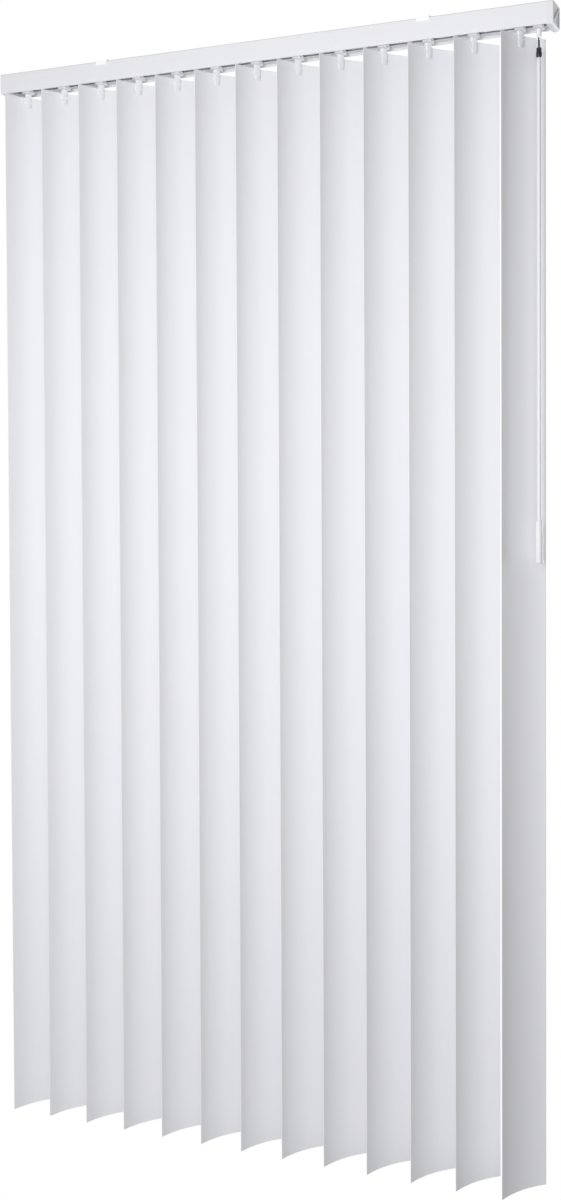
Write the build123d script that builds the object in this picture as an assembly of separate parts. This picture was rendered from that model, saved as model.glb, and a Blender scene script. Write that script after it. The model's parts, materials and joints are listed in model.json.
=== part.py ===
from build123d import *
import math
import os

# Vertical blind: an aluminium headrail with curved vanes that turn and traverse, and a wand
# that works both motions. Millimetres and degrees. X runs along the rail, the room is on the
# -Y side and Z is up. The origin lies midway between the two fixing screws, on the ceiling.

# Whole blind
rail_length = 1000.0
vane_count = 13
vane_pitch = 75.0
stack_pitch = 16.0
first_vane_margin = 43.5
open_angle = 55.0
drop = 1835.0

# Headrail section
rail_depth = 42.0
rail_height = 34.4
rail_wall = 1.3
rail_corner = 2.0
ledge_below_top = 27.2
slot_width = 19.0
back_skirt_rise = 2.0
clip_groove_below_top = 4.6
groove_height = 1.2
groove_depth = 0.5

# End caps
cap_width = 10.0
cap_proud = 1.0
cap_foot_round = 5.0
cap_frame = 4.0
cap_recess = 1.4
cap_rib = 3.5
plug_length = 5.0
plug_wall = 1.8
plug_clearance = 0.15

# Fixing clips
clip_spacing = 584.0
clip_width = 22.0
clip_thickness = 1.5
clip_lip = 1.0
clip_lip_height = 6.0
clip_clearance = 0.05
screw_hole_radius = 2.2

# Tilt rod
rod_radius = 3.0
rod_flutes = 3
rod_flute_radius = 0.9
rod_behind_centre = 8.0
rod_above_ledge = 4.2
rod_clearance = 0.1
rod_seat_depth = 3.5
rod_end_play = 0.5

# Carriers
carrier_length = 13.0
carrier_depth = 26.4
carrier_height = 21.0
carrier_lift = 0.6
collar_length = 14.0
collar_clearance = 0.7
collar_below_top = 33.6
window_clearance = 0.8
small_round_sides = 10
wheel_radius = 3.2
wheel_width = 2.8
wheel_clearance = 0.3
pocket_clearance = 0.6
pocket_play = 0.3

# Spacer strips that link the carriers
strip_thickness = 0.5
strip_gap = 0.4
strip_height = 3.4
strip_lift = 0.3
strip_end_gap = 2.0
channel_wall = 1.5

# Hangers
head_radius = 4.7
head_height = 6.4
head_teeth = 8
tooth_depth = 1.1
neck_radius = 2.2
neck_clearance = 0.2
shoulder_width = 10.0
shoulder_thickness = 6.0
shoulder_gap = 0.4
tongue_length = 18.5
tongue_top_width = 9.6
tongue_tip_width = 7.8
tongue_corner = 1.6
prong_thickness = 1.5
prong_gap = 0.35
back_prong_length = 11.0
nub_height = 2.0
nub_width = 7.0
nub_below_vane_top = 6.0

# Vanes
vane_width = 89.0
vane_bow = 7.4
vane_thickness = 0.8
vane_top_gap = 6.1
vane_slot_width = 13.0
vane_slot_height = 3.6

# Control carrier and wand
wand_offset = 29.2
control_length = 22.0
link_width = 4.0
link_height = 8.0
stem_head_radius = 4.6
stem_head_height = 5.0
stem_neck_radius = 3.0
stem_radius = 3.9
stem_length = 17.1
eye_tab_thickness = 2.4
eye_tab_height = 6.0
eye_radius = 1.2
wire_radius = 0.8
wire_sides = 6
wire_corner = 1.2
wire_clearance = 0.3
wire_length = 17.5
connector_radius = 4.5
connector_length = 8.8
connector_edge = 1.5
connector_tab_width = 7.6
shaft_radius = 3.1
shaft_tip_radius = 2.0
shaft_taper = 9.0
shaft_length = 775.0
socket_depth = 6.0
socket_clearance = 0.1
handle_length = 66.0
handle_top_radius = 5.2
handle_foot_radius = 5.9
handle_overlap = 60.0
handle_edge = 1.2
wand_sides = 24

# Heights and places worked out from the sizes above
rail_top = -clip_thickness
rail_bottom = rail_top - rail_height
ledge_top = rail_top - ledge_below_top
ledge_bottom = ledge_top - rail_wall
chamber_top = rail_top - rail_wall
chamber_half = rail_depth / 2 - rail_wall
profile_half = rail_length / 2 - cap_width
rod_height = ledge_top + rod_above_ledge
boss_radius = rod_above_ledge - plug_clearance
window_half = rod_radius + window_clearance
carrier_foot = ledge_top + carrier_lift
carrier_crown = carrier_foot + carrier_height
collar_foot = rail_top - collar_below_top
collar_depth = slot_width - 2 * collar_clearance
pocket_floor = ledge_top - pocket_play
pocket_half = head_radius + pocket_clearance
head_foot = pocket_floor + pocket_play
pocket_roof = head_foot + head_height + pocket_play
lane_pitch = strip_thickness + strip_gap
lane_count = math.ceil(vane_pitch / stack_pitch)
strip_foot = carrier_crown + strip_lift
vane_top = rail_bottom - vane_top_gap
vane_foot = rail_top - drop
vane_radius = (vane_width**2 / 4 + vane_bow**2) / (2 * vane_bow)
vane_half_angle = math.degrees(math.asin(vane_width / 2 / vane_radius))
prong_inner = vane_thickness / 2 + prong_gap
prong_outer = prong_inner + prong_thickness
first_vane_x = first_vane_margin - rail_length / 2
last_vane_x = first_vane_x + (vane_count - 1) * vane_pitch
wand_x = last_vane_x + wand_offset
stem_foot = collar_foot - pocket_play - stem_length
upper_eye = stem_foot + eye_tab_height / 2
lower_eye = upper_eye - wire_length
wire_half = eye_tab_thickness / 2 + wire_clearance + wire_radius
connector_top = lower_eye - eye_tab_height / 2
connector_foot = connector_top - connector_length
shaft_top = connector_foot + socket_depth
shaft_foot = shaft_top - shaft_length
handle_top = shaft_foot + handle_overlap


def block(x_range, y_range, z_range):
    """A box between the given low and high coordinates."""
    ranges = (x_range, y_range, z_range)
    centre = [(low + high) / 2 for low, high in ranges]
    return Pos(*centre) * Box(*[high - low for low, high in ranges])


def upright(radius, low, high):
    """A cylinder about Z from one height to another."""
    return Pos(0, 0, (low + high) / 2) * Cylinder(radius, high - low)


def faceted(radius, low, high, sides=small_round_sides, taper=0):
    """An upright round made with flat sides, which may narrow towards its top."""
    return Pos(0, 0, low) * extrude(RegularPolygon(radius, sides), amount=high - low, taper=taper)


def across(radius, length):
    """A cylinder about Y through the origin."""
    return Rot(90, 0, 0) * Cylinder(radius, length)


def along(radius, length):
    """A cylinder about X through the origin."""
    return Rot(0, 90, 0) * Cylinder(radius, length)


def rail_outline(extra_below):
    """The outside of the headrail's section, a little deeper for the end caps."""
    height = rail_height + extra_below
    outline = Pos(0, rail_top - height / 2) * Rectangle(rail_depth, height)
    return fillet(outline.vertices().group_by(Axis.Y)[-1], rail_corner)


def rail_groove(height):
    """A shallow groove along both outer walls of the headrail's section."""
    side = Rectangle(2 * groove_depth, groove_height)
    return [Pos(place * rail_depth / 2, height) * side for place in (-1, 1)]


def rail():
    """The extruded headrail: two inner ledges beside the slot, and a skirt that is shorter behind."""
    chamber_height = chamber_top - ledge_top
    skirt_height = ledge_bottom - rail_bottom
    section = rail_outline(0)
    section -= Pos(0, chamber_top - chamber_height / 2) * Rectangle(2 * chamber_half, chamber_height)
    section -= Pos(0, rail_bottom + skirt_height / 2) * Rectangle(2 * chamber_half, skirt_height)
    section -= Pos(0, ledge_top - rail_wall / 2) * Rectangle(slot_width, rail_wall)
    section -= Pos(chamber_half + rail_wall / 2, rail_bottom) * Rectangle(rail_wall, 2 * back_skirt_rise)
    for height in (rail_top - clip_groove_below_top, (ledge_top + ledge_bottom) / 2):
        for groove in rail_groove(height):
            section -= groove
    return extrude(Plane.YZ * section, amount=profile_half, both=True)


def cap_face_relief():
    """The sunk panel on the outside of an end cap, crossed by one slanting rib."""
    low = rail_bottom - cap_proud + cap_frame
    high = rail_top - cap_frame
    half = rail_depth / 2 - cap_frame
    panel = block((-rail_length / 2, cap_recess - rail_length / 2), (-half, half), (low, high))
    slant = math.degrees(math.atan2(high - low, 2 * half))
    rib = Pos(-rail_length / 2, 0, (low + high) / 2) * Rot(slant, 0, 0)
    return panel - rib * Box(4 * cap_recess, 4 * half, cap_rib)


def end_cap():
    """The left moulded end cap: outer plate, hollow plug and a blind seat for the tilt rod."""
    plate = Pos(-rail_length / 2, 0, 0) * extrude(Plane.YZ * rail_outline(cap_proud), amount=cap_width)
    foot_edge = plate.faces().sort_by(Axis.X)[0].edges().sort_by(Axis.Z)[0]
    plate = fillet(foot_edge, cap_foot_round) - cap_face_relief()
    plug_x = (-profile_half, plug_length - profile_half)
    plug_half = chamber_half - plug_clearance
    plug_z = (ledge_top + plug_clearance, chamber_top - plug_clearance)
    plug = block(plug_x, (-plug_half, plug_half), plug_z)
    inside_half = plug_half - plug_wall
    plug -= block(plug_x, (-inside_half, inside_half), (plug_z[0] + plug_wall, plug_z[1] - plug_wall))
    tab_z = (rail_bottom, ledge_bottom - plug_clearance)
    tab = block((-profile_half, plug_wall - profile_half), (-plug_half, plug_half), tab_z)
    boss_x = -profile_half + plug_length / 2
    boss = Pos(boss_x, rod_behind_centre, rod_height) * along(boss_radius, plug_length)
    seat_length = rod_seat_depth + rod_end_play + plug_length
    seat_x = plug_length - profile_half - seat_length / 2
    seat = Pos(seat_x, rod_behind_centre, rod_height) * along(rod_radius + rod_clearance, seat_length)
    return plate + plug + tab + boss - seat


def mount_clip():
    """A fixing clip about the middle of the rail: a thin plate screwed up, and two hooked lips."""
    half_width = clip_width / 2
    inner = rail_depth / 2 + clip_clearance
    outer = inner + clip_lip
    clip = block((-half_width, half_width), (-outer, outer), (-clip_thickness, 0))
    lip_z = (rail_top - clip_lip_height, rail_top)
    bead_middle = rail_top - clip_groove_below_top
    bead_half = groove_height / 2 - 2 * clip_clearance
    bead_z = (bead_middle - bead_half, bead_middle + bead_half)
    for side in (-1, 1):
        lip = block((-half_width, half_width), sorted((side * inner, side * outer)), lip_z)
        bead_y = sorted((side * inner, side * (inner - groove_depth)))
        clip += lip + block((-half_width, half_width), bead_y, bead_z)
    return clip - upright(screw_hole_radius, -clip_thickness, 0)


def tilt_rod():
    """The fluted rod that turns every hanger, seated in both end caps."""
    section = Circle(rod_radius)
    for flute in range(rod_flutes):
        place = Rot(0, 0, 360 * flute / rod_flutes) * Pos(rod_radius, 0)
        section -= place * Circle(rod_flute_radius)
    rod = extrude(Plane.YZ * section, amount=profile_half + rod_seat_depth, both=True)
    return Pos(0, rod_behind_centre, rod_height) * rod


def carrier_shell(length):
    """The upper body of a carrier, with the rod's window and the spacer channel on its back."""
    half = length / 2
    depth = carrier_depth / 2
    shell = block((-half, half), (-depth, depth), (carrier_foot, carrier_crown))
    channel_half = lane_count * lane_pitch / 2 + strip_gap
    wall_top = strip_foot + strip_height
    for side in (-1, 1):
        wall_y = sorted((side * channel_half, side * (channel_half + channel_wall)))
        shell += block((-half, half), wall_y, (carrier_crown, wall_top))
    window_y = (rod_behind_centre - window_half, rod_behind_centre + window_half)
    shell -= block((-half, half), window_y, (rod_height - window_half, rod_height + window_half))
    return shell


def collar():
    """The part of a carrier that reaches down through the rail's slot."""
    half = collar_depth / 2
    return block((-collar_length / 2, collar_length / 2), (-half, half), (collar_foot, carrier_foot))


def wheels():
    """One wheel on each side of a carrier, running on the rail's ledge."""
    height = ledge_top + wheel_clearance + wheel_radius
    wheel = Pos(0, 0, height) * Rot(90, 0, 0) * faceted(wheel_radius, -wheel_width / 2, wheel_width / 2)
    reach = (carrier_depth + wheel_width) / 2
    return [Pos(0, side * reach, 0) * wheel for side in (-1, 1)]


def spacer_strip(lane):
    """The strip that pulls the next carrier along, standing on edge in its own lane."""
    middle = (lane - (lane_count - 1) / 2) * lane_pitch
    lane_y = (middle - strip_thickness / 2, middle + strip_thickness / 2)
    start = stack_pitch * lane_count - vane_pitch - carrier_length / 2
    strip = block((start, vane_pitch - strip_end_gap), lane_y, (strip_foot, strip_foot + strip_height))
    foot = block((start, carrier_length / 2), lane_y, (carrier_crown, strip_foot))
    return strip + foot


def carrier(index):
    """One carrier, with the pocket for its hanger's head and the bore for the neck."""
    body = carrier_shell(carrier_length) + collar()
    body -= block((-pocket_half, pocket_half), (-pocket_half, pocket_half), (pocket_floor, pocket_roof))
    body -= faceted(neck_radius + neck_clearance, collar_foot, pocket_floor)
    body += wheels()
    if index < vane_count - 1:
        body += spacer_strip(index % lane_count)
    return body


def toothed_head():
    """The small worm wheel at the top of a hanger."""
    root = head_radius - tooth_depth
    corners = []
    for tooth in range(head_teeth):
        for share, radius in ((-0.5, root), (-0.16, head_radius), (0.16, head_radius)):
            angle = 2 * math.pi * (tooth + share) / head_teeth
            corners.append((radius * math.cos(angle), radius * math.sin(angle)))
    face = make_face(Polyline(*corners, close=True))
    return Pos(0, 0, head_foot) * extrude(face, amount=head_height)


def tongue():
    """The tapered front prong that lies over the hollow side of the vane."""
    top = vane_top + shoulder_gap
    foot = vane_top - tongue_length
    tip_half = tongue_tip_width / 2
    right = [(tip_half - tongue_corner, foot), (tip_half, foot + tongue_corner), (tongue_top_width / 2, top)]
    left = [(-x, z) for x, z in reversed(right)]
    face = make_face(Polyline(*right, *left, close=True))
    return Pos(0, -prong_inner, 0) * extrude(Plane.XZ * face, amount=prong_thickness)


def hanger():
    """A hanger: worm wheel, neck, shoulder, front tongue and the back prong with its nub."""
    half = shoulder_width / 2
    thick = shoulder_thickness / 2
    shoulder_z = (vane_top + shoulder_gap, collar_foot - pocket_play)
    body = toothed_head() + upright(neck_radius, shoulder_z[1], head_foot)
    body += block((-half, half), (-thick, thick), shoulder_z)
    body += tongue()
    back_z = (vane_top - back_prong_length, shoulder_z[0])
    body += block((-nub_width / 2, nub_width / 2), (prong_inner, prong_outer), back_z)
    nub_top = vane_top - nub_below_vane_top
    nub_y = (-vane_thickness / 2, prong_inner)
    body += block((-nub_width / 2, nub_width / 2), nub_y, (nub_top - nub_height, nub_top))
    return body


def vane():
    """One curved vane, hollow towards -Y, hung by the top edge of its punched slot."""
    half = vane_thickness / 2
    start = 90 - vane_half_angle
    centre = (0, -vane_radius)
    back = CenterArc(centre, vane_radius + half, start, 2 * vane_half_angle)
    front = CenterArc(centre, vane_radius - half, start, 2 * vane_half_angle)
    edges = [back, Line(back @ 1, front @ 1), front, Line(front @ 0, back @ 0)]
    sheet = Pos(0, 0, vane_foot) * extrude(make_face(edges), amount=vane_top - vane_foot)
    slot_half = vane_slot_width / 2
    slot_top = vane_top - nub_below_vane_top
    slot_z = (slot_top - vane_slot_height, slot_top)
    return sheet - block((-slot_half, slot_half), (-vane_bow, vane_bow), slot_z)


def control_carrier():
    """The lead carrier's partner, clipped to the last carrier: it holds the wand's stem."""
    body = carrier_shell(control_length) + collar()
    head_half = stem_head_radius + pocket_clearance
    head_roof = head_foot + stem_head_height + pocket_play
    body -= block((-head_half, head_half), (-head_half, head_half), (pocket_floor, head_roof))
    body -= upright(stem_neck_radius + neck_clearance, collar_foot, pocket_floor)
    body += wheels()
    link_x = (carrier_length / 2 - wand_offset, -control_length / 2)
    link_y = (-carrier_depth / 2, link_width - carrier_depth / 2)
    link_z = (carrier_crown - link_height, carrier_crown)
    return body + block(link_x, link_y, link_z)


def wand_stem():
    """The turning stem below the control carrier, flattened at its foot for the wire."""
    stem_top = collar_foot - pocket_play
    stem = faceted(stem_head_radius, head_foot, head_foot + stem_head_height, wand_sides)
    stem += upright(stem_neck_radius, stem_top, head_foot)
    stem += faceted(stem_radius, stem_foot, stem_top, wand_sides)
    tab_top = stem_foot + eye_tab_height
    for side in (-1, 1):
        flat_y = sorted((side * eye_tab_thickness / 2, side * 2 * stem_radius))
        stem -= block((-2 * stem_radius, 2 * stem_radius), flat_y, (stem_foot, tab_top))
    return stem - Pos(0, 0, upper_eye) * across(eye_radius, 2 * stem_radius)


def wand_hook():
    """The closed wire link between the stem and the connector, lying in the YZ plane."""
    corners = [(wire_half, 0), (wire_half, upper_eye - lower_eye), (-wire_half, upper_eye - lower_eye)]
    corners.append((-wire_half, 0))
    path = FilletPolyline(*corners, radius=wire_corner, close=True)
    path = Pos(0, 0, lower_eye) * (Plane.YZ * path)
    start = Plane(origin=path @ 0, z_dir=path % 0)
    return sweep(start * RegularPolygon(wire_radius, wire_sides), path=path)


def wand_connector():
    """The black connector: an eye tab on a short barrel with a socket for the shaft."""
    barrel = faceted(connector_radius, connector_foot, connector_top, wand_sides)
    barrel = chamfer(barrel.faces().sort_by(Axis.Z)[0].edges(), connector_edge)
    barrel = chamfer(barrel.faces().sort_by(Axis.Z)[-1].edges(), connector_edge)
    half = connector_tab_width / 2
    thick = eye_tab_thickness / 2
    tab = block((-half, half), (-thick, thick), (connector_top, connector_top + eye_tab_height))
    barrel += chamfer(tab.edges().filter_by(Axis.Y).group_by(Axis.Z)[-1], connector_edge)
    barrel -= Pos(0, 0, lower_eye) * across(eye_radius, connector_tab_width)
    return barrel - upright(shaft_tip_radius + socket_clearance, connector_foot, shaft_top)


def wand_rod():
    """The long white shaft with its tapered tip."""
    taper_foot = connector_foot - shaft_taper
    slope = math.degrees(math.atan2(shaft_radius - shaft_tip_radius, shaft_taper))
    shaft = faceted(shaft_radius, shaft_foot, taper_foot, wand_sides)
    shaft += faceted(shaft_radius, taper_foot, connector_foot, wand_sides, slope)
    return shaft + faceted(shaft_tip_radius, connector_foot, shaft_top, wand_sides)


def wand_handle():
    """The tapered grip pushed over the foot of the shaft."""
    foot = handle_top - handle_length
    slope = math.degrees(math.atan2(handle_foot_radius - handle_top_radius, handle_length))
    grip = faceted(handle_foot_radius, foot, handle_top, wand_sides, slope)
    grip = chamfer(grip.faces().sort_by(Axis.Z)[0].edges(), handle_edge)
    grip = chamfer(grip.faces().sort_by(Axis.Z)[-1].edges(), handle_edge)
    return grip - upright(shaft_radius + socket_clearance, shaft_foot, handle_top)


def place(shape, x, angle=0):
    """Stands a shape modelled about Z at its place along the rail."""
    return Pos(x, 0, 0) * Rot(0, 0, angle) * shape


def pieces():
    """Every piece of the blind by name, where it hangs."""
    left_cap = end_cap()
    made = {
        "rail": rail(),
        "end_cap_left": left_cap,
        "end_cap_right": mirror(left_cap, about=Plane.YZ),
        "mount_clip_left": place(mount_clip(), -clip_spacing / 2),
        "mount_clip_right": place(mount_clip(), clip_spacing / 2),
        "tilt_rod": tilt_rod(),
        "control_carrier": place(control_carrier(), wand_x),
        "wand_stem": place(wand_stem(), wand_x),
        "wand_hook": place(wand_hook(), wand_x),
        "wand_connector": place(wand_connector(), wand_x),
        "wand_rod": place(wand_rod(), wand_x),
        "wand_handle": place(wand_handle(), wand_x),
    }
    for index in range(vane_count):
        x = first_vane_x + index * vane_pitch
        number = f"{index + 1:02d}"
        made["carrier_" + number] = place(carrier(index), x)
        made["hanger_" + number] = place(hanger(), x, open_angle)
        made["vane_" + number] = place(vane(), x, open_angle)
    return made


os.makedirs("parts", exist_ok=True)
for name, shape in pieces().items():
    export_step(shape, f"parts/{name}.step")
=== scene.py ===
import json
import math

import bpy
from mathutils import Matrix, Vector


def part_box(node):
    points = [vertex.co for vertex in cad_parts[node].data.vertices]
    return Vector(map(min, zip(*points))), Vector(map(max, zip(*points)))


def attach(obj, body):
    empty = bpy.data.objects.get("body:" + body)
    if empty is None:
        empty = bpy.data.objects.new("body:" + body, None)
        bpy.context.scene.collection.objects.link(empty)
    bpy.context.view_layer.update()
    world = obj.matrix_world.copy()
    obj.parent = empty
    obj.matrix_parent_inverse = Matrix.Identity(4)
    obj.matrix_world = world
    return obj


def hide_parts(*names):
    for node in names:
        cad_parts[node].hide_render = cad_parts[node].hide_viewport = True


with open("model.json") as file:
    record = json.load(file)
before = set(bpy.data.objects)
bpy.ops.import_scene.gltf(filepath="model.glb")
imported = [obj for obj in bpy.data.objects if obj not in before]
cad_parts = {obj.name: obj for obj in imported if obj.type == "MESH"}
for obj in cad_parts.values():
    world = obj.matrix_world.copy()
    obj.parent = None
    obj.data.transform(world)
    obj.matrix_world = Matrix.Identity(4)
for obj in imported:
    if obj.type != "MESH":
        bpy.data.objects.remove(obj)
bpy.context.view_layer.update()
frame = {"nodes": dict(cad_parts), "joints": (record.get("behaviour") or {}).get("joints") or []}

# The view of the photograph: a standing viewer to the right of the blind, looking slightly down
# at it. The shift puts the picture's centre where the frame of the photograph has it.
CAMERA_PLACE = (1.02256, -2.0881, -0.75337)
CAMERA_YAW = 0.3714
CAMERA_PITCH = 0.023
CAMERA_ROLL = 0.0031
CAMERA_LENS = 41.76
CAMERA_SENSOR = 36.0
CAMERA_SHIFT = (-0.0829, -0.0575)

bpy.ops.object.select_all(action="DESELECT")
bpy.ops.object.camera_add()
camera = bpy.context.object
turn = Matrix.Rotation(CAMERA_YAW, 4, "Z") @ Matrix.Rotation(math.pi / 2 - CAMERA_PITCH, 4, "X")
camera.matrix_world = Matrix.Translation(CAMERA_PLACE) @ turn @ Matrix.Rotation(-CAMERA_ROLL, 4, "Z")
camera.data.lens = CAMERA_LENS
camera.data.sensor_width = CAMERA_SENSOR
camera.data.shift_x, camera.data.shift_y = CAMERA_SHIFT
bpy.context.scene.camera = camera
bpy.context.scene.view_settings.view_transform = "Standard"

# The setting: a plain pale floor well below the hung blind and a plain white surround. The
# surround lights the blind less than it shows, as a white wall does behind a lit product.


class Shade:
    """One output of a shader node. It adds and multiplies like a number, by way of Math nodes."""

    def __init__(self, tree, output=None):
        self.tree = tree
        self.output = output

    def node(self, kind, settings, sockets, output=0):
        """Adds a node: its settings first, then a value or a shade for each of its sockets."""
        made = self.tree.nodes.new(kind)
        for name, setting in settings.items():
            setattr(made, name, setting)
        for name, value in sockets.items():
            if isinstance(value, Shade):
                self.tree.links.new(value.output, made.inputs[name])
            else:
                made.inputs[name].default_value = value
        return Shade(self.tree, made.outputs[output] if made.outputs else None)

    def maths(self, operation, first, second):
        return self.node("ShaderNodeMath", {"operation": operation}, {0: first, 1: second})

    def __add__(self, other):
        return self.maths("ADD", self, other)

    def __radd__(self, other):
        return self.maths("ADD", other, self)

    def __mul__(self, other):
        return self.maths("MULTIPLY", self, other)

    def __rmul__(self, other):
        return self.maths("MULTIPLY", other, self)


FLOOR_HEIGHT = -2.9
FLOOR_SIZE = 2.8
FLOOR_WHITE = (0.7, 0.7, 0.7, 1)
FLOOR_ROUGHNESS = 0.9
SURROUND_WHITE = (1, 1, 1, 1)
SURROUND_SHOWN = 1.0
SURROUND_LIGHT = 0.25

world = bpy.data.worlds.new("white_room")
bpy.context.scene.world = world
world.use_nodes = True
world.node_tree.nodes.clear()
room = Shade(world.node_tree)
seen = room.node("ShaderNodeLightPath", {}, {}, "Is Camera Ray")
strength = SURROUND_LIGHT + (SURROUND_SHOWN - SURROUND_LIGHT) * seen
glow = room.node("ShaderNodeBackground", {}, {"Color": SURROUND_WHITE, "Strength": strength})
room.node("ShaderNodeOutputWorld", {}, {"Surface": glow})

bpy.ops.mesh.primitive_plane_add(size=FLOOR_SIZE, location=(0, 0, FLOOR_HEIGHT))
floor = bpy.context.object
floor.name = "floor"
floor_white = bpy.data.materials.new("floor_white")
floor_white.use_nodes = True
floor_shader = floor_white.node_tree.nodes["Principled BSDF"]
floor_shader.inputs["Base Color"].default_value = FLOOR_WHITE
floor_shader.inputs["Roughness"].default_value = FLOOR_ROUGHNESS
floor.data.materials.append(floor_white)

# The light: a large soft box in front of the blind, one behind it, whose light reaches the seen
# faces off the backs of the vanes, and two weak ones at its right, in front and behind.
SOFT_BOX_WIDTH = 0.9
SOFT_BOX_HEIGHT = 1.6


def soft_box(name, place, aim, power):
    """A rectangular soft light at a place, turned towards its aim."""
    bpy.ops.object.light_add(type="AREA", location=place)
    box = bpy.context.object
    box.name = name
    box.data.shape = "RECTANGLE"
    box.data.size = SOFT_BOX_WIDTH
    box.data.size_y = SOFT_BOX_HEIGHT
    box.data.energy = power
    box.rotation_euler = (Vector(aim) - Vector(place)).to_track_quat("-Z", "Y").to_euler()


soft_box("front_light", (0.0, -2.3, -0.6), aim=(0.0, 0.0, -0.7), power=47.0)
soft_box("back_light", (1.0, 2.4, -0.7), aim=(0.0, 0.0, -0.8), power=58.0)
soft_box("side_light", (2.0, 1.4, -0.7), aim=(0.0, 0.0, -0.8), power=11.0)
soft_box("fill_light", (1.3, -2.0, -0.6), aim=(0.0, 0.0, -0.7), power=7.0)

# The headrail: one aluminium extrusion, powder-coated white, with two ledges inside for the
# carriers' wheels. The coat has a faint orange peel, and the metal's fine lines show through it.


def new_finish(name, colour, roughness):
    """A new material, its principled shader, and the place of each point on the piece."""
    material = bpy.data.materials.new(name)
    material.use_nodes = True
    shader = material.node_tree.nodes["Principled BSDF"]
    shader.inputs["Base Color"].default_value = (*colour, 1)
    shader.inputs["Roughness"].default_value = roughness
    place = Shade(material.node_tree).node("ShaderNodeTexCoord", {}, {}, "Object")
    return material, shader, place


def cloud(place, squeeze, scale):
    """Cloudy variation from 0 to 1. A small squeeze along an axis draws it out that way."""
    drawn = place.node("ShaderNodeMapping", {}, {"Vector": place, "Scale": squeeze})
    return place.node("ShaderNodeTexNoise", {}, {"Vector": drawn, "Scale": scale, "Detail": 3.0})


def tint(shader, mask, dark, pale):
    """Colours the surface between two tones by a mask, with a Mix node's sockets for colours."""
    tones = {0: mask, 6: (*dark, 1), 7: (*pale, 1)}
    mixed = mask.node("ShaderNodeMix", {"data_type": "RGBA"}, tones, 2)
    mask.tree.links.new(mixed.output, shader.inputs["Base Color"])


def roughen(shader, value):
    """Lets the roughness vary over the surface."""
    value.tree.links.new(value.output, shader.inputs["Roughness"])


def relief(shader, height, depth):
    """Gives the surface a fine relief of the given depth in metres."""
    bump = height.node("ShaderNodeBump", {}, {"Distance": depth, "Height": height})
    height.tree.links.new(bump.output, shader.inputs["Normal"])


def dress(node, material):
    """Gives a carried-over CAD node its finish."""
    for slot in bpy.data.objects[node].material_slots:
        slot.material = material


powder_coat, shader, place = new_finish("rail_powder_coat", (0.755, 0.757, 0.79), 0.42)
peel = cloud(place, (1, 1, 1), 900.0)
drawn = cloud(place, (0.02, 1, 1), 260.0)
tint(shader, drawn, dark=(0.743, 0.745, 0.778), pale=(0.767, 0.769, 0.803))
roughen(shader, 0.38 + 0.1 * peel)
relief(shader, peel, depth=0.00002)
dress("rail", powder_coat)

# The end caps: moulded white plastic, each pushed into an end of the rail by the plug behind it.
# Their outer faces carry the same slanting rib in a sunk panel.
moulded_white, shader, place = new_finish("cap_moulded_white", (0.74, 0.742, 0.77), 0.6)
shader.inputs["Specular IOR Level"].default_value = 0.25
grain = cloud(place, (1, 1, 1), 1400.0)
flow = cloud(place, (1, 1, 1), 40.0)
tint(shader, flow, dark=(0.725, 0.727, 0.755), pale=(0.755, 0.757, 0.785))
roughen(shader, 0.55 + 0.12 * grain)
relief(shader, grain, depth=0.000012)
dress("end_cap_left", moulded_white)
dress("end_cap_right", moulded_white)

# The fixing clips: springy white plastic with a gloss, moulded in one piece. They are screwed to
# the ceiling, and their lips snap over the rail's two top edges.
gloss_white, shader, place = new_finish("clip_gloss_white", (0.93, 0.93, 0.935), 0.25)
swirl = cloud(place, (1, 1, 1), 120.0)
tint(shader, swirl, dark=(0.915, 0.915, 0.925), pale=(0.94, 0.94, 0.945))
roughen(shader, 0.22 + 0.1 * swirl)
dress("mount_clip_left", gloss_white)
dress("mount_clip_right", gloss_white)

# The tilt rod: a fluted aluminium bar that turns in seats in the two end caps, left as it was
# drawn, with the fine lines of the die along it.
drawn_bar, shader, place = new_finish("drawn_aluminium", (0.7, 0.7, 0.72), 0.35)
shader.inputs["Metallic"].default_value = 1.0
lines = cloud(place, (0.01, 1, 1), 2200.0)
tint(shader, lines, dark=(0.66, 0.66, 0.68), pale=(0.74, 0.74, 0.76))
roughen(shader, 0.28 + 0.16 * lines)
relief(shader, lines, depth=0.00001)
dress("tilt_rod", drawn_bar)

# The carriers: small bodies moulded in white plastic, which roll along the rail's ledges and pull
# one another along by their spacer strips, and the control carrier that holds the wand.
carrier_white, shader, place = new_finish("carrier_white", (0.82, 0.822, 0.835), 0.4)
flow = cloud(place, (1, 1, 1), 90.0)
tint(shader, flow, dark=(0.80, 0.802, 0.815), pale=(0.84, 0.842, 0.855))
roughen(shader, 0.36 + 0.12 * flow)
relief(shader, flow, depth=0.00001)
numbers = [name[-2:] for name in sorted(frame["nodes"]) if name.startswith("vane_")]
for number in numbers:
    dress("carrier_" + number, carrier_white)
dress("control_carrier", carrier_white)

# The hangers: one white plastic moulding each, with a small worm wheel in the carrier, a neck, a
# shoulder above the vane, a long front tongue and a back prong whose nub holds the vane's slot.
HEAD_HEIGHT = 0.0064
HEAD_ROOT_RADIUS = 0.0036
HEAD_TEETH = 8
TOOTH_DEPTH = 0.0011
TOOTH_TAPER = 0.00002
NECK_RADIUS = 0.0022
NECK_SIDES = 24
NECK_IN_HEAD = 0.001
NECK_ABOVE_VANE = 0.002
SHOULDER_WIDTH = 0.010
SHOULDER_THICKNESS = 0.006
SHOULDER_GAP = 0.0004
COLLAR_PLAY = 0.0003
VANE_THICKNESS = 0.0008
PRONG_GAP = 0.00035
PRONG_THICKNESS = 0.0015
PRONG_IN_SHOULDER = 0.0005
TONGUE_TOP_WIDTH = 0.0096
TONGUE_TIP_WIDTH = 0.0078
TONGUE_CORNER = 0.0016
CORNER_STEPS = 6
BACK_PRONG_LENGTH = 0.011
BACK_PRONG_WIDTH = 0.007
NUB_HEIGHT = 0.002
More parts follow.
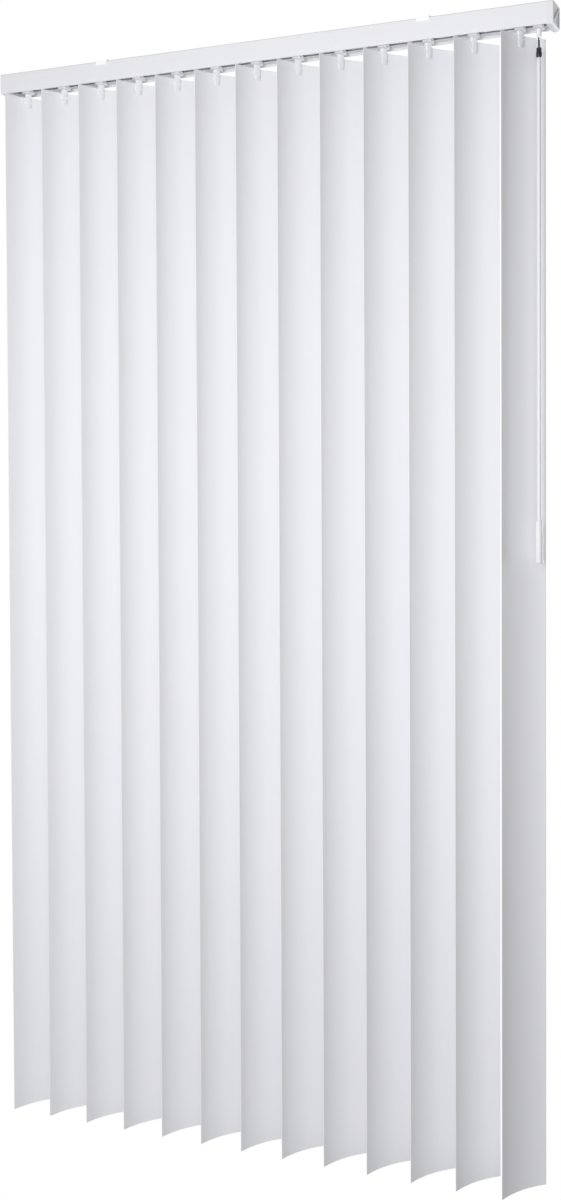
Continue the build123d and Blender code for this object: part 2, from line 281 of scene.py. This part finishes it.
NUB_WIDTH = 0.0066
NUB_IN_PRONG = 0.0004
NUB_BELOW_VANE_TOP = 0.006
HANGER_EDGE = 0.00025
OPEN_ANGLE = math.radians(55)
TOLERANCE = 0.0001


def foot_and_top(node):
    """The lowest and the highest height of a CAD node."""
    low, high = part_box(node)
    return low.z, high.z


def fresh(name):
    """Names the primitive just added, and moves its turn and place into its mesh."""
    piece = bpy.context.object
    piece.name = name
    piece.data.name = name
    piece.data.transform(piece.matrix_basis)
    piece.matrix_basis = Matrix.Identity(4)
    return piece


def bar_between(name, low, high):
    """A box between two corners, from a cube resized in edit mode."""
    bpy.ops.object.select_all(action="DESELECT")
    bpy.ops.mesh.primitive_cube_add(size=1)
    piece = fresh(name)
    bpy.ops.object.mode_set(mode="EDIT")
    bpy.ops.transform.resize(value=[b - a for a, b in zip(low, high)])
    bpy.ops.transform.translate(value=[(a + b) / 2 for a, b in zip(low, high)])
    bpy.ops.object.mode_set(mode="OBJECT")
    return piece


def pick_faces(piece, wanted):
    """Opens the mesh with the faces selected whose centre and normal pass a test."""
    bpy.ops.object.mode_set(mode="EDIT")
    bpy.ops.mesh.select_mode(type="FACE")
    bpy.ops.mesh.select_all(action="DESELECT")
    bpy.ops.object.mode_set(mode="OBJECT")
    for face in piece.data.polygons:
        face.select = wanted(face.center, face.normal)
    bpy.ops.object.mode_set(mode="EDIT")


def pick_edges(piece, wanted):
    """Opens the mesh with the edges selected whose two ends pass a test."""
    bpy.ops.object.mode_set(mode="EDIT")
    bpy.ops.mesh.select_mode(type="EDGE")
    bpy.ops.mesh.select_all(action="DESELECT")
    bpy.ops.object.mode_set(mode="OBJECT")
    points = piece.data.vertices
    for edge in piece.data.edges:
        edge.select = wanted(*[points[index].co for index in edge.vertices])
    bpy.ops.object.mode_set(mode="EDIT")


def cut_or_join(piece, other, operation):
    """Applies a boolean of a second mesh to the first, and removes the second."""
    bpy.ops.object.select_all(action="DESELECT")
    bpy.context.view_layer.objects.active = piece
    piece.select_set(True)
    step = piece.modifiers.new("shape", "BOOLEAN")
    step.operation = operation
    step.object = other
    bpy.ops.object.modifier_apply(modifier=step.name)
    bpy.data.objects.remove(other)


def soften(piece, width, angle):
    """Rounds the edges sharper than an angle in degrees, and shades the rest smooth."""
    bpy.ops.object.select_all(action="DESELECT")
    bpy.context.view_layer.objects.active = piece
    piece.select_set(True)
    step = piece.modifiers.new("edges", "BEVEL")
    step.width = width
    step.segments = 2
    step.limit_method = "ANGLE"
    step.angle_limit = math.radians(angle)
    bpy.ops.object.modifier_apply(modifier=step.name)
    bpy.ops.object.shade_smooth_by_angle(angle=math.radians(angle))


def hang_copies(master, name, material, node):
    """Hangs a copy of a finished piece at each vane's pivot, turned to the open angle."""
    master.data.materials.clear()
    master.data.materials.append(material)
    for number in numbers:
        piece = bpy.data.objects.new(name + number, master.data.copy())
        bpy.context.collection.objects.link(piece)
        stand = Matrix.Translation((pivots["hung_vane_" + number][0], 0, 0))
        piece.data.transform(stand @ Matrix.Rotation(OPEN_ANGLE, 4, "Z"))
        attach(piece, "hung_vane_" + number)
        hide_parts(node + number)
    bpy.data.objects.remove(master)


def on_tooth(centre, normal):
    """True for every second side face of the wheel."""
    step = 2 * math.pi / HEAD_TEETH
    turns = math.atan2(normal.y, normal.x) / step
    return abs(normal.z) < 0.5 and abs(turns - round(turns)) < 0.2


pivots = {joint["child"]: joint["pos_m"] for joint in frame["joints"] if "pos_m" in joint}
vane_foot, vane_top = foot_and_top("vane_01")
tongue_foot, head_top = foot_and_top("hanger_01")
collar_foot = foot_and_top("carrier_01")[0]
head_foot = head_top - HEAD_HEIGHT
bpy.ops.object.select_all(action="DESELECT")
bpy.ops.mesh.primitive_cylinder_add(
    vertices=2 * HEAD_TEETH, radius=HEAD_ROOT_RADIUS, depth=HEAD_HEIGHT,
    location=(0, 0, head_foot + HEAD_HEIGHT / 2), rotation=(0, 0, math.pi / (2 * HEAD_TEETH)),
)
hanger = fresh("hanger")
pick_faces(hanger, on_tooth)
bpy.ops.mesh.inset(thickness=TOOTH_TAPER, use_individual=True)
bpy.ops.mesh.extrude_faces_move(TRANSFORM_OT_shrink_fatten={"value": TOOTH_DEPTH})
bpy.ops.object.mode_set(mode="OBJECT")

neck_foot = vane_top + NECK_ABOVE_VANE
neck_length = head_foot + NECK_IN_HEAD - neck_foot
bpy.ops.object.select_all(action="DESELECT")
bpy.ops.mesh.primitive_cylinder_add(
    vertices=NECK_SIDES, radius=NECK_RADIUS, depth=neck_length,
    location=(0, 0, neck_foot + neck_length / 2),
)
cut_or_join(hanger, fresh("neck"), "UNION")

shoulder_foot = vane_top + SHOULDER_GAP
shoulder = bar_between(
    "shoulder",
    (-SHOULDER_WIDTH / 2, -SHOULDER_THICKNESS / 2, shoulder_foot),
    (SHOULDER_WIDTH / 2, SHOULDER_THICKNESS / 2, collar_foot - COLLAR_PLAY),
)
prong_inner = VANE_THICKNESS / 2 + PRONG_GAP
prong_outer = prong_inner + PRONG_THICKNESS
prong_top = shoulder_foot + PRONG_IN_SHOULDER
tongue = bar_between(
    "tongue",
    (-TONGUE_TOP_WIDTH / 2, -prong_outer, tongue_foot),
    (TONGUE_TOP_WIDTH / 2, -prong_inner, prong_top),
)
pick_faces(tongue, lambda centre, normal: normal.z < -0.5)
bpy.ops.transform.resize(
    value=(TONGUE_TIP_WIDTH / TONGUE_TOP_WIDTH, 1, 1), center_override=(0, 0, 0)
)
pick_edges(tongue, lambda a, b: max(a.z, b.z) < tongue_foot + TOLERANCE and abs(a.x - b.x) < TOLERANCE)
bpy.ops.mesh.bevel(offset=TONGUE_CORNER, segments=CORNER_STEPS)
bpy.ops.object.mode_set(mode="OBJECT")
cut_or_join(shoulder, tongue, "UNION")
back_prong = bar_between(
    "back_prong",
    (-BACK_PRONG_WIDTH / 2, prong_inner, vane_top - BACK_PRONG_LENGTH),
    (BACK_PRONG_WIDTH / 2, prong_outer, prong_top),
)
cut_or_join(shoulder, back_prong, "UNION")
nub_top = vane_top - NUB_BELOW_VANE_TOP
nub = bar_between(
    "nub",
    (-NUB_WIDTH / 2, -VANE_THICKNESS / 2, nub_top - NUB_HEIGHT),
    (NUB_WIDTH / 2, prong_inner + NUB_IN_PRONG, nub_top),
)
cut_or_join(shoulder, nub, "UNION")
cut_or_join(hanger, shoulder, "UNION")
soften(hanger, HANGER_EDGE, 30)

hanger_white, shader, place = new_finish("hanger_white", (0.77, 0.773, 0.79), 0.4)
flow = cloud(place, (1, 1, 1), 150.0)
tint(shader, flow, dark=(0.755, 0.758, 0.775), pale=(0.785, 0.788, 0.805))
roughen(shader, 0.36 + 0.12 * flow)
relief(shader, flow, depth=0.00001)
hang_copies(hanger, "vane_hanger_", hanger_white, "hanger_")

# The vanes: strips of extruded vinyl with a set curve, 89 mm wide and all cut to one length. Each
# has a punched slot near its top that drops over its hanger's nub.
VANE_WIDTH = 0.089
VANE_BOW = 0.0074
VANE_STEPS = 40
VANE_EDGE = 0.0002
SLOT_WIDTH = 0.013
SLOT_HEIGHT = 0.0036
END_BAND = 0.002
SLOT_BAND = 0.001
slot_top = nub_top
slot_foot = slot_top - SLOT_HEIGHT
vane_radius = (VANE_WIDTH ** 2 / 4 + VANE_BOW ** 2) / (2 * VANE_BOW)
half_sweep = math.asin(VANE_WIDTH / 2 / vane_radius)
# One upright side of a plane is kept, and spun round the middle of the vane's curve.
bpy.ops.object.select_all(action="DESELECT")
bpy.ops.mesh.primitive_plane_add(size=1, rotation=(math.pi / 2, 0, 0))
vane = fresh("vane")
pick_edges(vane, lambda a, b: min(a.x, b.x) > 0)
bpy.ops.mesh.select_mode(type="VERT")
bpy.ops.mesh.delete(type="VERT")
bpy.ops.mesh.select_all(action="SELECT")
bpy.ops.transform.resize(value=(1, 1, vane_top - vane_foot))
edge_x = vane_radius * math.sin(half_sweep)
edge_y = vane_radius * (math.cos(half_sweep) - 1)
bpy.ops.transform.translate(value=(0.5 + edge_x, edge_y, (vane_top + vane_foot) / 2))
bpy.ops.mesh.spin(
    steps=VANE_STEPS, angle=-2 * half_sweep, center=(0, -vane_radius, 0), axis=(0, 0, 1)
)
bpy.ops.mesh.select_all(action="SELECT")
bpy.ops.mesh.remove_doubles(threshold=0.00001)
bpy.ops.mesh.normals_make_consistent(inside=False)
# Rows of edges beside the ends and the slot keep the shading of the long faces even.
for height in (vane_foot + END_BAND, slot_foot - SLOT_BAND, slot_top + SLOT_BAND, vane_top - END_BAND):
    bpy.ops.mesh.select_all(action="SELECT")
    bpy.ops.mesh.bisect(plane_co=(0, 0, height), plane_no=(0, 0, 1))
bpy.ops.object.mode_set(mode="OBJECT")
wall = vane.modifiers.new("wall", "SOLIDIFY")
wall.thickness = VANE_THICKNESS
wall.offset = 0
bpy.ops.object.modifier_apply(modifier=wall.name)
soften(vane, VANE_EDGE, 50)
punch = bar_between(
    "punch", (-SLOT_WIDTH / 2, -VANE_BOW, slot_foot), (SLOT_WIDTH / 2, VANE_BOW, slot_top)
)
cut_or_join(vane, punch, "DIFFERENCE")
bpy.ops.object.shade_smooth_by_angle(angle=math.radians(30))

vinyl, shader, place = new_finish("vane_vinyl", (0.825, 0.827, 0.86), 0.5)
drawn = cloud(place, (1, 1, 0.012), 520.0)
mottle = cloud(place, (1, 1, 0.3), 14.0)
tint(shader, 0.6 * drawn + 0.4 * mottle, dark=(0.812, 0.814, 0.847), pale=(0.838, 0.84, 0.873))
roughen(shader, 0.44 + 0.12 * mottle)
relief(shader, drawn, depth=0.000012)
hang_copies(vane, "vinyl_vane_", vinyl, "vane_")

# The wand's stem: a white plastic spindle that the control carrier turns. Its head sits in the
# carrier, and its foot is a flat tab with a hole for the wire link.
STEM_RADIUS = 0.0039
STEM_NECK_RADIUS = 0.0030
STEM_HEAD_RADIUS = 0.0046
STEM_HEAD_HEIGHT = 0.005
STEM_EDGE = 0.00012
TURNED_SIDES = 48
TURNED_STEP = 0.00001
EYE_TAB_THICKNESS = 0.0024
EYE_TAB_HEIGHT = 0.006
EYE_RADIUS = 0.0012
EYE_SIDES = 24
CUT_CLEAR = 0.001
CUT_REACH = 0.008


def turned(name, stations):
    """A turned piece through (height, radius) stations, from a disc extruded up and resized."""
    bpy.ops.object.select_all(action="DESELECT")
    height, radius = stations[0]
    bpy.ops.mesh.primitive_circle_add(
        vertices=TURNED_SIDES, radius=radius, fill_type="NGON", location=(0, 0, height)
    )
    piece = fresh(name)
    bpy.ops.object.mode_set(mode="EDIT")
    for (low, before), (high, after) in zip(stations, stations[1:]):
        bpy.ops.mesh.extrude_region_move(TRANSFORM_OT_translate={"value": (0, 0, high - low)})
        share = after / before
        bpy.ops.transform.resize(value=(share, share, 1), center_override=(0, 0, high))
    bpy.ops.mesh.select_all(action="SELECT")
    bpy.ops.mesh.normals_make_consistent(inside=False)
    bpy.ops.object.mode_set(mode="OBJECT")
    return piece


def bore_eye(piece, height):
    """Bores the hole for the wire link across a piece."""
    bpy.ops.object.select_all(action="DESELECT")
    bpy.ops.mesh.primitive_cylinder_add(
        vertices=EYE_SIDES, radius=EYE_RADIUS, depth=2 * CUT_REACH, location=(0, 0, height),
        rotation=(math.pi / 2, 0, 0),
    )
    cut_or_join(piece, fresh("drill"), "DIFFERENCE")


def hang_wand(piece, material, body, node):
    """Puts a finished piece of the wand at its place along the rail."""
    piece.data.transform(Matrix.Translation((wand_x, 0, 0)))
    piece.data.materials.clear()
    piece.data.materials.append(material)
    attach(piece, body)
    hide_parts(node)


wand_x = pivots["wand_stem"][0]
upper_eye = pivots["wand_hook"][2]
stem_foot = foot_and_top("wand_stem")[0]
stem_top = collar_foot - COLLAR_PLAY
stem_head_top = head_foot + STEM_HEAD_HEIGHT
stem = turned(
    "stem",
    [
        (stem_foot, STEM_RADIUS - 0.0005), (stem_foot + 0.0005, STEM_RADIUS),
        (stem_top - 0.0004, STEM_RADIUS), (stem_top, STEM_RADIUS - 0.0004),
        (stem_top + TURNED_STEP, STEM_NECK_RADIUS), (head_foot, STEM_NECK_RADIUS),
        (head_foot + TURNED_STEP, STEM_HEAD_RADIUS - 0.0003),
        (head_foot + 0.0003, STEM_HEAD_RADIUS), (stem_head_top - 0.0003, STEM_HEAD_RADIUS),
        (stem_head_top, STEM_HEAD_RADIUS - 0.0003),
    ],
)
tab_top = stem_foot + EYE_TAB_HEIGHT
for side in (-1, 1):
    near, far = sorted((side * EYE_TAB_THICKNESS / 2, side * CUT_REACH))
    flat = bar_between("flat", (-CUT_REACH, near, stem_foot - CUT_CLEAR), (CUT_REACH, far, tab_top))
    cut_or_join(stem, flat, "DIFFERENCE")
bore_eye(stem, upper_eye)
soften(stem, STEM_EDGE, 40)

wand_white, shader, place = new_finish("wand_white", (0.75, 0.752, 0.775), 0.45)
shader.inputs["Specular IOR Level"].default_value = 0.35
flow = cloud(place, (1, 1, 0.1), 160.0)
tint(shader, flow, dark=(0.74, 0.742, 0.765), pale=(0.76, 0.762, 0.785))
roughen(shader, 0.42 + 0.1 * flow)
relief(shader, flow, depth=0.000008)
hang_wand(stem, wand_white, "wand_stem", "wand_stem")

# The wire link: black steel wire bent into a narrow closed loop through the eyes of the stem and
# the connector. The wand swings on it, and turns the stem through it.
WIRE_RADIUS = 0.0008
WIRE_BEND = 0.0013
WIRE_BEND_STEPS = 8
WIRE_CLEARANCE = 0.0003
lower_eye = pivots["wand"][2]
wire_half = EYE_TAB_THICKNESS / 2 + WIRE_CLEARANCE + WIRE_RADIUS
# The outline of a plane, with its corners rounded, becomes the line of the wire.
bpy.ops.object.select_all(action="DESELECT")
bpy.ops.mesh.primitive_plane_add(size=1, rotation=(0, math.pi / 2, 0))
link = fresh("link")
bpy.ops.object.mode_set(mode="EDIT")
bpy.ops.mesh.select_all(action="SELECT")
bpy.ops.transform.resize(value=(1, 2 * wire_half, upper_eye - lower_eye))
bpy.ops.transform.translate(value=(0, 0, (upper_eye + lower_eye) / 2))
bpy.ops.mesh.bevel(offset=WIRE_BEND, segments=WIRE_BEND_STEPS, affect="VERTICES")
bpy.ops.mesh.delete(type="ONLY_FACE")
bpy.ops.object.mode_set(mode="OBJECT")
bpy.ops.object.convert(target="CURVE")
wire = bpy.context.object.data
wire.bevel_depth = WIRE_RADIUS
wire.bevel_resolution = 4
bpy.ops.object.convert(target="MESH")
link = fresh("link")
bpy.ops.object.shade_smooth_by_angle(angle=math.radians(60))

black_wire, shader, place = new_finish("link_black_wire", (0.025, 0.025, 0.027), 0.35)
wear = cloud(place, (1, 1, 1), 600.0)
tint(shader, wear, dark=(0.015, 0.015, 0.016), pale=(0.035, 0.035, 0.038))
roughen(shader, 0.3 + 0.15 * wear)
hang_wand(link, black_wire, "wand_hook", "wand_hook")

# The connector: a round-shouldered sleeve moulded in soft black vinyl, pushed over the shaft's
# thin end, with a tab on top that holds the lower end of the wire link.
CONNECTOR_RADIUS = 0.0045
CONNECTOR_EDGE = 0.0002
CONNECTOR_TAB_WIDTH = 0.0076
CONNECTOR_TAB_CORNER = 0.0014
TAB_IN_SLEEVE = 0.001
SOCKET_RADIUS = 0.0021
connector_foot, connector_tip = foot_and_top("wand_connector")
connector_top = connector_tip - EYE_TAB_HEIGHT
shaft_foot, shaft_top = foot_and_top("wand_rod")
connector = turned(
    "connector",
    [
        (connector_foot, CONNECTOR_RADIUS - 0.0013), (connector_foot + 0.0005, CONNECTOR_RADIUS - 0.0007),
        (connector_foot + 0.0014, CONNECTOR_RADIUS - 0.0002), (connector_foot + 0.0024, CONNECTOR_RADIUS),
        (connector_top - 0.0016, CONNECTOR_RADIUS), (connector_top - 0.0008, CONNECTOR_RADIUS - 0.0003),
        (connector_top - 0.0002, CONNECTOR_RADIUS - 0.0009), (connector_top, CONNECTOR_RADIUS - 0.0015),
    ],
)
tab = bar_between(
    "tab",
    (-CONNECTOR_TAB_WIDTH / 2, -EYE_TAB_THICKNESS / 2, connector_top - TAB_IN_SLEEVE),
    (CONNECTOR_TAB_WIDTH / 2, EYE_TAB_THICKNESS / 2, connector_tip),
)
pick_edges(tab, lambda a, b: min(a.z, b.z) > connector_tip - TOLERANCE and abs(a.x - b.x) < TOLERANCE)
bpy.ops.mesh.bevel(offset=CONNECTOR_TAB_CORNER, segments=CORNER_STEPS)
bpy.ops.object.mode_set(mode="OBJECT")
cut_or_join(connector, tab, "UNION")
bore_eye(connector, lower_eye)
socket = turned("socket", [(connector_foot - CUT_CLEAR, SOCKET_RADIUS), (shaft_top, SOCKET_RADIUS)])
cut_or_join(connector, socket, "DIFFERENCE")
soften(connector, CONNECTOR_EDGE, 40)

black_vinyl, shader, place = new_finish("connector_black", (0.02, 0.02, 0.021), 0.42)
wear = cloud(place, (1, 1, 1), 400.0)
tint(shader, wear, dark=(0.012, 0.012, 0.013), pale=(0.026, 0.026, 0.027))
roughen(shader, 0.38 + 0.14 * wear)
hang_wand(connector, black_vinyl, "wand", "wand_connector")

# The shaft: a long round rod of the same white plastic as the stem. It tapers at the top to the
# pin that the connector is pushed over.
SHAFT_RADIUS = 0.0031
PIN_RADIUS = 0.0020
SHAFT_TAPER = 0.009
taper_foot = connector_foot - SHAFT_TAPER
shaft = turned(
    "shaft",
    [
        (shaft_foot, SHAFT_RADIUS - 0.0003), (shaft_foot + 0.0003, SHAFT_RADIUS),
        (taper_foot, SHAFT_RADIUS), (taper_foot + 0.003, SHAFT_RADIUS - 0.0002),
        (connector_foot - 0.0005, PIN_RADIUS + 0.0002), (connector_foot, PIN_RADIUS),
        (shaft_top, PIN_RADIUS),
    ],
)
bpy.ops.object.shade_smooth_by_angle(angle=math.radians(35))
hang_wand(shaft, wand_white, "wand", "wand_rod")

# The grip: a white plastic sleeve that widens a little towards its rounded foot. It is bored from
# the top and pushed over the lower end of the shaft.
GRIP_TOP_RADIUS = 0.0052
GRIP_FOOT_RADIUS = 0.0059
BORE_RADIUS = 0.0032
grip_foot, grip_top = foot_and_top("wand_handle")
grip = turned(
    "handle",
    [
        (grip_foot, GRIP_FOOT_RADIUS - 0.0015), (grip_foot + 0.0003, GRIP_FOOT_RADIUS - 0.0009),
        (grip_foot + 0.0008, GRIP_FOOT_RADIUS - 0.0004), (grip_foot + 0.0016, GRIP_FOOT_RADIUS),
        (grip_top - 0.0012, GRIP_TOP_RADIUS), (grip_top - 0.0005, GRIP_TOP_RADIUS - 0.0002),
        (grip_top - 0.0001, GRIP_TOP_RADIUS - 0.0006), (grip_top, GRIP_TOP_RADIUS - 0.0011),
    ],
)
bore = turned("bore", [(shaft_foot, BORE_RADIUS), (grip_top + CUT_CLEAR, BORE_RADIUS)])
cut_or_join(grip, bore, "DIFFERENCE")
bpy.ops.object.shade_smooth_by_angle(angle=math.radians(35))
hang_wand(grip, wand_white, "wand", "wand_handle")
